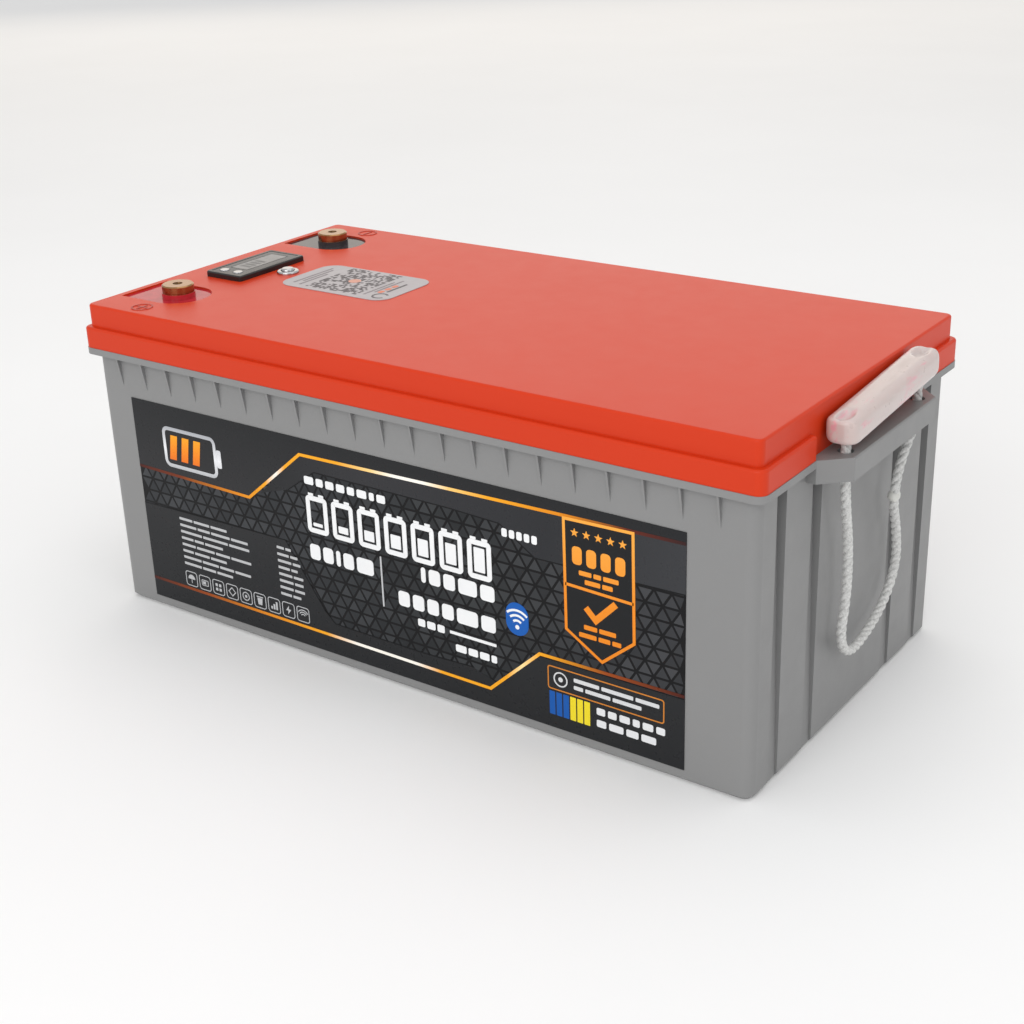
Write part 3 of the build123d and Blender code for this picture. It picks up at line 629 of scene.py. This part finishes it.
def hoop(outline, width):
    """A closed line as one mitred plate for each of its sides."""
    count = len(outline)
    rims = ([], [])
    for i, (x, z) in enumerate(outline):
        before = (Vector(outline[i]) - Vector(outline[i - 1])).normalized()
        after = (Vector(outline[(i + 1) % count]) - Vector(outline[i])).normalized()
        along = (before + after).normalized()
        reach = width / 2 / max(MITRE_LIMIT, along.dot(before))
        rims[0].append((x - along.y * reach, z + along.x * reach))
        rims[1].append((x + along.y * reach, z - along.x * reach))
    near, far = rims
    return [[near[i], near[(i + 1) % count], far[(i + 1) % count], far[i]] for i in range(count)]


def ink(name, colour, roughness=0.34):
    return printed(f"ink_{name}", linear(*colour), roughness, 0.04, LABEL_GLOSS)


def gradient(name, axis, low, high, stops, roughness=0.3):
    """Ink whose colour changes along X or Z, from low to high in mm."""
    shader = Shader(f"ink_{name}").set(Specular_IOR_Level=LABEL_GLOSS)
    split = shader.node("ShaderNodeSeparateXYZ", Vector=shader.place)
    span = shader.node("ShaderNodeMapRange", Value=split.outputs[axis])
    span.inputs["From Min"].default_value = low * MM
    span.inputs["From Max"].default_value = high * MM
    places = [((at - low) / (high - low), linear(*colour)) for at, colour in stops]
    shader.link(shader.ramp(span.outputs["Result"], *places), "Base Color")
    shader.link(shader.ramp(shader.noise(300, 2), (0.3, roughness - 0.04), (0.7, roughness + 0.05)),
                "Roughness")
    shader.bump(shader.noise(500, 1), 0.02, 0.00005)
    return shader.material


def inside(x, z, outline):
    """Whether a point lies in an outline."""
    found = False
    for (x0, z0), (x1, z1) in zip(outline, outline[1:] + outline[:1]):
        if (z0 > z) != (z1 > z) and x < (x1 - x0) * (z - z0) / (z1 - z0) + x0:
            found = not found
    return found


UPPER_PANEL = [
    (LABEL_LEFT, LABEL_TOP), (LABEL_LEFT, 109.4), (-120.3, 107.7), (-71.4, 148.1), (131.2, 151.7),
    (LABEL_RIGHT, 152.7), (LABEL_RIGHT, LABEL_TOP),
]
BAND_UNDER = [
    (-109.5, 113.2), (-71.2, 147.3), (131.2, 150.9), (LABEL_RIGHT, 151.9), (LABEL_RIGHT, 122.0),
    (121.0, 119.5), (111.0, 119.5), (86.0, 136.0), (50.0, 137.5), (-60.0, 138.0), (-84.0, 121.0),
]
LOWER_LEFT = [
    (LABEL_LEFT, LABEL_BASE), (LABEL_LEFT, 81.0), (-91.0, 83.0), (-60.5, 38.5), (-52.0, 31.0),
    (20.0, 30.5), (62.0, 32.0), (82.0, 26.0), (112.5, 54.5), (LABEL_RIGHT, 55.2), (LABEL_RIGHT, LABEL_BASE),
]
UPPER_LINE = [(LABEL_LEFT, 109.4), (-120.3, 107.7), (-71.4, 148.1), (131.2, 151.7), (LABEL_RIGHT, 152.7)]
LOWER_LINE = [(LABEL_LEFT, 22.8), (74.7, 21.2), (112.7, 56.4), (LABEL_RIGHT, 57.2)]
GOLD_WIDTH, EDGE_WIDTH = 2.1, 0.8
GOLD, DEEP_GOLD, GLINT, EMBER = (246, 168, 34), (226, 138, 26), (255, 250, 240), (70, 26, 20)


def triangle_field():
    """Small raised triangles between dark gaps, in four shades of grey."""
    height, base, gap = 9.3, 11.6, 1.5
    rng = random.Random(11)
    shades = [[] for _ in range(4)]
    for row in range(math.ceil((LABEL_TOP - LABEL_BASE) / height)):
        low = LABEL_BASE + row * height
        shift = base / 2 if row % 2 else 0
        for step in range(-1, math.ceil((LABEL_RIGHT - LABEL_LEFT) / base) * 2 + 1):
            x = LABEL_LEFT + shift + step * base / 2
            up = step % 2 == 0
            foot, tip = (low, low + height) if up else (low + height, low)
            corners = [(x, foot), (x + base, foot), (x + base / 2, tip)]
            shade = rng.randrange(4)
            middle = (x + base / 2, foot + (tip - foot) / 3)
            if any(not (LABEL_LEFT < cx < LABEL_RIGHT and LABEL_BASE <= cz <= LABEL_TOP)
                   for cx, cz in corners):
                corners = [(min(max(cx, LABEL_LEFT), LABEL_RIGHT), min(max(cz, LABEL_BASE), LABEL_TOP))
                           for cx, cz in corners]
                if max(c[0] for c in corners) - min(c[0] for c in corners) < base * 0.6:
                    continue
                if max(c[1] for c in corners) - min(c[1] for c in corners) < height * 0.6:
                    continue
                middle = tuple(sum(c[k] for c in corners) / 3 for k in (0, 1))
            if any(all(inside(cx, cz, panel) for cx, cz in corners)
                   for panel in (UPPER_PANEL, BAND_UNDER, LOWER_LEFT)):
                continue
            keep = 1 - gap / (height / 3) / 2
            shades[shade].append([(middle[0] + (cx - middle[0]) * keep, middle[1] + (cz - middle[1]) * keep)
                                  for cx, cz in corners])
    for shade, (outlines, grey) in enumerate(zip(shades, (42, 47, 52, 58))):
        greys = [(LABEL_LEFT, (grey + 4, grey + 6, grey + 9)), (-80, (grey, grey + 2, grey + 5)),
                 (60, (grey - 4, grey - 2, grey)), (LABEL_RIGHT, (grey + 8, grey + 9, grey + 12))]
        paint = gradient(f"triangle_{shade}", "X", LABEL_LEFT, LABEL_RIGHT, greys, 0.32)
        decal(f"label_triangles_{shade}", outlines, paint, PATTERN)


def word_bars(rows, height):
    """Rounded bars in place of words: left edge, right edge and middle height of each."""
    return [rounded(x0, x1, z - height / 2, z + height / 2, height * 0.22) for x0, x1, z in rows]


def broken(x0, x1, z, sizes, gap):
    """One line of bars whose widths share out the space between two edges."""
    unit = (x1 - x0 - gap * (len(sizes) - 1)) / sum(sizes)
    made, x = [], x0
    for size in sizes:
        made.append((x, x + size * unit, z))
        x += size * unit + gap
    return made


def cell_pictogram(x0, x1, z0, z1, charge):
    """A prismatic cell seen from the front: a rounded body, two poles and its charge."""
    width = x1 - x0
    poles = [rounded(x0 + width * a, x0 + width * b, z1 - 1.7, z1, 0.3)
             for a, b in ((0.14, 0.38), (0.62, 0.86))]
    body = rounded(x0 + 1.7, x1 - 1.7, z0 + 1.7, z1 - 3.5, 1.6)
    level = z0 + 5.4 + (z1 - z0 - 11.5) * charge
    return hoop(body, 3.4) + poles + [rounded(x0 + 5.0, x1 - 5.0, z0 + 5.0, level, 0.6)]


def star(x, z, radius):
    """A five-pointed star."""
    points = []
    for k in range(10):
        reach = radius if k % 2 == 0 else radius * STAR_WAIST
        turn = math.radians(90 + 36 * k)
        points.append((x + reach * math.cos(turn), z + reach * math.sin(turn)))
    return points


def label_lines():
    """The two gold lines, with glints, that fade to dark red at their ends."""
    upper = [
        (LABEL_LEFT, EMBER), (-185, (120, 52, 24)), (-128, DEEP_GOLD), (-104, GOLD), (-94, GLINT),
        (-86, GOLD), (-40, GOLD), (-12, (255, 214, 140)), (6, GLINT), (30, GLINT),
        (50, (255, 205, 120)), (78, GOLD), (128, DEEP_GOLD), (176, (96, 38, 26)),
        (LABEL_RIGHT, (52, 30, 30)),
    ]
    lower = [
        (LABEL_LEFT, EMBER), (-170, (150, 70, 24)), (-110, DEEP_GOLD), (-60, GOLD), (-34, GLINT),
        (16, GLINT), (36, GOLD), (88, GOLD), (99, (255, 226, 160)), (112, GOLD),
        (160, (150, 70, 24)), (LABEL_RIGHT, EMBER),
    ]
    for name, line, stops in (("upper", UPPER_LINE, upper), ("lower", LOWER_LINE, lower)):
        paint = gradient(f"line_{name}", "X", LABEL_LEFT, LABEL_RIGHT, stops)
        decal(f"label_line_{name}", [stroke(line, GOLD_WIDTH)], paint, PALE)


def label_panels():
    """The flat dark areas round the triangles, with a thin shadow along their edges."""
    dark = [(LABEL_BASE, (34, 35, 37)), (60, (38, 39, 41)), (110, (45, 45, 47)), (LABEL_TOP, (35, 36, 38))]
    sheen = gradient("panel", "Z", LABEL_BASE, LABEL_TOP, dark)
    decal("label_panel_upper", [UPPER_PANEL], sheen, PANEL)
    decal("label_panel_lower", [LOWER_LEFT], sheen, PANEL)
    across = [(-110, (36, 37, 39)), (-20, (50, 50, 53)), (120, (44, 45, 48)), (LABEL_RIGHT, (56, 57, 60))]
    decal("label_panel_band", [BAND_UNDER], gradient("band", "X", -110, LABEL_RIGHT, across), PANEL)
    shadow = ink("panel_edge", (18, 18, 20))
    decal("label_panel_edges", [
        stroke([(-84.0, 121.0), (-60.0, 138.0), (50.0, 137.5), (86.0, 136.0), (111.0, 119.5),
                (LABEL_RIGHT, 121.6)], EDGE_WIDTH),
        stroke([(LABEL_LEFT, 81.3), (-91.0, 83.3), (-60.2, 38.8), (-51.8, 31.4), (20, 30.9),
                (62, 32.4)], EDGE_WIDTH),
    ], shadow, EDGE)


def label_symbols():
    """A battery pictogram, a row of cells, bars in place of words and a wave symbol."""
    silver = gradient("silver", "Z", 112, 146,
                      [(112, (170, 172, 176)), (128, (236, 237, 240)), (146, (160, 162, 168))])
    flame = gradient("flame", "Z", 112, 146,
                     [(112, (226, 84, 30)), (129, (244, 140, 30)), (146, (250, 180, 40))])
    body = rounded(-197, -149, 116, 143, 4)
    decal("label_mark_case", hoop(body, 2.6) + [rounded(-147.6, -143.4, 123, 136, 1.2)], silver, PALE)
    decal("label_mark_charge", [[(x, 120.5), (x + 6.4, 120.5), (x + 9.4, 138.5), (x + 3.0, 138.5)]
                                for x in (-193.4, -182.4, -171.4)], flame, PALE)
    white = ink("white", (240, 241, 242))
    cells = []
    for k in range(7):
        x = -69.0 + 21.7 * k
        cells += cell_pictogram(x, x + 18.0, 95, 123.0, 0.12 + 0.14 * k)
    decal("label_cell_row", cells, white, BRIGHT)
    heading = word_bars(broken(-68.9, -1.5, 131.5, (8, 6, 7, 7, 6, 8, 4, 7), 2.2), 5.4)
    decal("label_heading", heading, white, BRIGHT)
    voltage = word_bars(broken(-68.8, -15.0, 81, (5, 5, 2, 5, 8), 2.6), 11)
    decal("label_gauge_voltage", voltage, white, BRIGHT)
    decal("label_divider", [rounded(-9.1, -7.9, 56, 91.5, 0.5)], ink("divider", (196, 197, 199)), BRIGHT)
    gauges = word_bars(broken(24, 80.5, 87, (2, 5, 5, 8, 6), 2.6), 10.5)
    gauges += word_bars(broken(4.5, 80.5, 66, (5, 5, 5, 5, 9, 6), 2.6), 10.5)
    decal("label_gauges", gauges, white, BRIGHT)
    small = word_bars(broken(19.3, 40.5, 52.6, (6, 7, 6), 1.6), 5.2) + word_bars([(44.6, 80.5, 52.6)], 2.0)
    small += word_bars(broken(48.8, 80.5, 42.6, (8, 7, 7, 4), 1.6), 5.0)
    small += word_bars(broken(87.6, 113.0, 131, (1, 1, 1, 1, 1), 1.5), 5.4)
    decal("label_small_bars", small, white, BRIGHT)
    decal("label_wave_ground", [rounded(88.6, 105.2, 64.5, 86.5, 8.2)], ink("blue", (26, 92, 176)), BRIGHT)
    waves = [stroke(arc(96.9, 70.4, r, 48, 132, 10), 1.5) for r in (4.2, 7.6, 11.0)]
    decal("label_waves", waves + [rounded(95.4, 98.4, 68.6, 71.6, 1.49)], white, SYMBOL)


def label_badge():
    """A gold ribbon badge with stars over a gauge and a tick."""
    orange = gradient("badge", "Z", 62, 150,
                      [(62, (232, 132, 30)), (105, (238, 142, 40)), (150, (246, 170, 70))])
    ribbon = [(132.0, 150.2), (178.6, 151.2), (179.2, 81.8), (157.3, 63.6), (132.5, 79.1)]
    decal("label_badge_ground", [ribbon], ink("badge_ground", (30, 31, 33)), GROUND)
    lines = hoop(ribbon, 1.9) + [stroke([(132.4, 108.6), (178.9, 107.0)], 1.9)]
    decal("label_badge_frame", lines, orange, BADGE)
    stars = [star(x, 142.6, 2.9) for x in (139.4, 147.5, 155.6, 163.7, 171.8)]
    decal("label_badge_stars", stars, orange, BADGE)
    bars = word_bars(broken(137.5, 173.5, 128.4, (1, 1, 1, 1), 3.0), 11.5)
    bars += word_bars(broken(142.0, 169.0, 118.0, (5, 3, 6), 1.4), 3.0)
    bars += word_bars(broken(146.0, 165.0, 112.8, (6, 4), 1.4), 3.0)
    bars += word_bars(broken(145.0, 167.0, 83.6, (4, 5), 1.4), 3.0)
    bars += word_bars(broken(141.5, 170.5, 78.0, (6, 4, 3), 1.4), 3.0)
    decal("label_badge_bars", bars, orange, BADGE)
    decal("label_badge_tick", [stroke([(146.5, 96.5), (153.2, 89.8), (167.0, 103.8)], 4.2)], orange, BADGE)


def label_small_print():
    """Rows of grey bars, nine framed pictograms and the lower right group."""
    pale = ink("pale", (188, 189, 191))
    rng = random.Random(3)
    rows = []
    for k in range(8):
        z = 76.5 - 4.9 * k
        end = -191.5 + rng.uniform(38, 70)
        rows += broken(-191.5, end, z, [rng.uniform(5, 11) for _ in range(rng.randint(3, 4))], 1.3)
        rows += broken(-99.5, -99.5 + rng.uniform(12, 23), z, [rng.uniform(4, 6), 3], 1.3)
    decal("label_rows", word_bars(rows, 1.9), pale, PALE)
    frames, marks = [], []
    for k in range(9):
        x = -191.8 + 13.2 * k
        frames += hoop(rounded(x, x + 10.8, 25.2, 36.0, 2.0), 0.62)
        marks += small_mark(k, x + 5.4, 30.6)
    decal("label_mark_frames", frames, pale, PALE)
    decal("label_marks", marks, pale, PALE)
    amber = ink("amber", (206, 128, 50))
    decal("label_note_frame", hoop(rounded(118.6, 199.0, 35.4, 50.6, 1.6), 0.8), amber, PALE)
    note = hoop(arc(127.5, 43.0, 4.6, 0, 352, 44), 0.9) + [rounded(125.9, 129.1, 41.4, 44.6, 1.5)]
    note += word_bars(broken(137, 196, 45.6, (9, 11, 8), 1.6) + broken(137, 184, 40.6, (3, 8, 9), 1.6), 2.6)
    decal("label_note", note, ink("note", (214, 215, 217)), PALE)
    for shade, left, right, colour in (("blue", 119.2, 123.3, (24, 88, 170)),
                                       ("yellow", 134.2, 138.3, (238, 216, 44))):
        stripes = [rounded(left + 5.0 * k, right + 5.0 * k, 17.6, 33.6, 0.3) for k in range(3)]
        decal(f"label_level_{shade}", stripes, ink(f"level_{shade}", colour), PALE)
    foot = broken(153, 200, 29.6, (5, 5, 6, 4, 6, 5), 2.0) + broken(153, 194, 21.4, (4, 6, 5, 6), 2.0)
    decal("label_foot_bars", word_bars(foot, 4.8), ink("foot", (226, 227, 229)), PALE)


def small_mark(kind, x, z):
    """One of nine plain pictograms, drawn with strokes."""
    if kind == 0:
        return [arc(x, z - 0.2, 3.4, 0, 180, 12), rounded(x - 0.3, x + 0.3, z - 3.4, z - 0.3, 0.2)]
    if kind == 1:
        box = hoop(rounded(x - 3, x + 3, z - 2, z + 2, 0.6), 0.6)
        return box + [rounded(x - 2.2, x + 0.8, z - 1.2, z + 1.2, 0.2)]
    if kind == 2:
        return [rounded(x + a - 1.1, x + a + 1.1, z + b - 1.1, z + b + 1.1, 0.4)
                for a in (-1.7, 1.7) for b in (-1.7, 1.7)]
    if kind == 3:
        return hoop([(x - 3.2, z), (x, z - 3.2), (x + 3.2, z), (x, z + 3.2)], 0.7)
    if kind == 4:
        return hoop(arc(x, z, 3.0, 0, 342, 18), 0.7) + [rounded(x - 1.1, x + 1.1, z - 1.1, z + 1.1, 1.0)]
    if kind == 5:
        pail = [(x - 2.4, z + 2), (x + 2.4, z + 2), (x + 1.7, z - 3), (x - 1.7, z - 3)]
        return [pail, rounded(x - 3, x + 3, z + 2.5, z + 3.3, 0.2)]
    if kind == 6:
        return [rounded(x - 3 + 2.3 * k, x - 1.4 + 2.3 * k, z - 3, z - 1 + 2 * k, 0.2) for k in range(3)]
    if kind == 7:
        return [[(x + 0.6, z + 3.4), (x - 2.4, z - 0.5), (x - 0.2, z - 0.5), (x - 0.8, z - 3.4),
                 (x + 2.4, z + 0.6), (x + 0.2, z + 0.6)]]
    return [stroke(arc(x, z - 1.8, r, 35, 145, 8), 0.7) for r in (2.0, 3.6, 5.2)]


def top_artwork():
    """The silver label: a field of dots in an accent ring, and rows of bars."""
    dark = ink("top_dark", (86, 80, 84))
    rng = random.Random(21)
    dots = []
    for column in range(23):
        for row in range(26):
            if rng.random() < 0.52:
                x, y = -153.0 + column * 2.0, -23.0 + row * 2.0
                dots.append([(x, y), (x + 1.8, y), (x + 1.8, y + 1.8), (x, y + 1.8)])
    decal("top_label_dots", dots, dark, TOP_INK, on_top, TOP_FOOT)
    middle = [arc(-130.0, 3.2, 4.6, 0, 345, 23)]
    decal("top_label_centre", middle, ink("top_centre", (214, 150, 130)), TOP_OVER,
          on_top, TOP_FOOT)
    bars = []
    for k, (y0, y1) in enumerate(((-20, 22), (-14, 18), (-22, 8))):
        bars.append(rounded(-167.6 + 3.6 * k, -165.6 + 3.6 * k, y0, y1, 0.8))
    for k, (y0, y1) in enumerate(((-20, 14), (-12, 20))):
        bars.append(rounded(-103.6 + 3.4 * k, -101.8 + 3.4 * k, y0, y1, 0.8))
    decal("top_label_bars", bars, ink("top_bars", (128, 120, 124)), TOP_INK, on_top, TOP_FOOT)
    ring = [stroke(arc(-90.0, -17.5, 5.2, 40, 330, 24), 1.5), rounded(-92.6, -90.6, -8, 14, 0.9)]
    decal("top_label_ring", ring, dark, TOP_OVER, on_top, TOP_FOOT)
    accent = [rounded(-97.4, -93.8, -12.0 + 7.5 * k, -6.6 + 7.5 * k, 1.2) for k in range(3)]
    decal("top_label_accent", accent, ink("top_accent", (222, 120, 88)), TOP_OVER,
          on_top, TOP_FOOT)


def polarity_marks():
    """Darker faces on the raised plus and minus marks of the lid."""
    shade = moulded("mark_plastic", linear(168, 44, 26), 0.4, 0.15, 0.02, 0.3)
    plus = (((-4.5, 0), (4.5, 0)), ((0, -4.5), (0, -0.8)), ((0, 0.8), (0, 4.5)))
    minus = (((0, -4.5), (0, 4.5)),)
    for name, x, y, bars in (("plus", -216, -117, plus), ("minus", -214, 117, minus)):
        outlines = hoop(arc(x, y, 6.9, 0, 352, 44), 1.2)
        outlines += [stroke([(x + a, y + b), (x + c, y + d)], 1.6) for (a, b), (c, d) in bars]
        decal(f"mark_{name}_face", outlines, shade, -0.04, on_top, -0.2)


def bore_thread(name, x, y):
    """The thread in a terminal's bore, as a stack of ridges."""
    pitch, turns, ring = 1.25, 9, 48
    wall, root, crest = 3.38, 3.3, 2.95
    mouth, first = 229.6, 229.4
    profile = [(wall, mouth)]
    for k in range(turns):
        top = first - pitch * k
        profile += [(root, top), (crest, top - pitch * 0.45), (crest, top - pitch * 0.55)]
    profile += [(wall, first - pitch * turns)]
    points, faces = [], []
    for radius, z in profile:
        for k in range(ring):
            turn = 2 * math.pi * k / ring
            points.append(Vector((x + radius * math.cos(turn), y + radius * math.sin(turn), z)) * MM)
    for i in range(len(profile)):
        for k in range(ring):
            a, b = i * ring + k, i * ring + (k + 1) % ring
            c = (i + 1) % len(profile) * ring
            faces.append((a, b, c + (k + 1) % ring, c + k))
    thread = mesh_object(f"{name}_bore_thread", points, faces)
    # The thread's brass is a darker copy of the terminal's brass: painted shade for the inside of the bore.
    finish_piece(thread, metal("thread_brass_shaded", linear(120, 92, 62), 0.3, 0.2), "root")


def display_face():
    """The liquid crystal's window on the display, with a dark rim and a row of gauge bars."""
    decal("display_lcd_rim", hoop(rounded(-226.6, -210.4, -21.1, 22.1, 1.4), 0.9),
          ink("lcd_rim", (44, 44, 46)), LCD_INK, on_top, LCD_FOOT)
    decal("display_lcd_view", [rounded(-226.0, -211.0, -20.5, 21.5, 0.9)],
          glossy("lcd_view", linear(118, 116, 116), 0.16, 0.0, 0.02, 0.2), LCD_INK,
          on_top, LCD_FOOT)
    bars = [rounded(-223.5, -213.5, -15.0 + 5.0 * k, -12.0 + 5.0 * k, 0.4) for k in range(4)]
    decal("display_lcd_bars", bars, ink("lcd_bars", (98, 97, 97)), LCD_OVER, on_top,
          LCD_OVER_FOOT)


display_face()
polarity_marks()
bore_thread("positive", -217.0, -82.0)
bore_thread("negative", -220.0, 83.0)
triangle_field()
label_panels()
label_lines()
label_symbols()
label_badge()
label_small_print()
top_artwork()


# ---------------------------------------------------------------- materials of the CAD nodes

make_stage()

FINISHES = {
    "case_grey": moulded("case_plastic", linear(133, 133, 133), 0.42, 0.2, 0.015, 0.4),
    "lid_orange": moulded("lid_plastic", linear(206, 55, 19), 0.36, 0.12, 0.008, 0.21, 0.015),
    "rubber_black": moulded("seal_rubber", linear(28, 28, 28), 0.7, 0.4, 0.1),
    "brass": metal("turned_brass", linear(164, 126, 86), 0.2, 0.08, 0.08),
    "resin_red": glossy("red_resin", linear(172, 40, 50), 0.05, 0.0, 0.03, 0.2),
    "resin_black": glossy("black_resin", linear(58, 52, 54), 0.05, 0.0, 0.03, 0.2),
    "plastic_black": moulded("bezel_plastic", linear(24, 24, 25), 0.32, 0.2, 0.1),
    "smoked_glass": glossy("display_face", linear(62, 62, 64), 0.14, 0.0, 0.02, 0.12),
    "lcd_grey": glossy("lcd_glass", linear(132, 130, 130), 0.16, 0.0, 0.02, 0.2),
    "circuit_green": glossy("circuit_lacquer", linear(20, 92, 48), 0.25, 0.3),
    "chrome": metal("chrome", linear(190, 190, 192), 0.10, 0.04),
    "label_silver": printed("label_silver_film", linear(176, 170, 172), 0.42),
    "label_charcoal": printed("label_charcoal_film", linear(17, 17, 19), 0.36, 0.06, LABEL_GLOSS),
    "cell_blue": glossy("cell_wrap", linear(40, 90, 170), 0.3, 0.2),
    "copper": metal("nickel_copper", linear(200, 150, 120), 0.25),
    "steel": metal("zinc_steel", linear(170, 172, 175), 0.3),
    "insulation_white": moulded("insulation_sheet", linear(226, 226, 218), 0.5, 0.3, 0.04),
    "plate_aluminium": metal("milled_aluminium", linear(196, 197, 200), 0.32),
    "foam_dark": moulded("closed_foam", linear(58, 58, 58), 0.9, 0.9, 0.2),
    "sleeve_red": moulded("red_silicone", linear(180, 24, 24), 0.5, 0.2, 0.05),
    "sleeve_black": moulded("black_silicone", linear(30, 30, 30), 0.5, 0.2, 0.1),
    "grip_pearl": MILKY,
    "rope_white": NYLON,
}


def dress_nodes():
    """Put each CAD node's procedural material on it."""
    for part in frame["record"]["subparts"]:
        node = frame["nodes"][part["node"]]
        node.data.materials.clear()
        node.data.materials.append(FINISHES[part["material_slot"]])


dress_nodes()
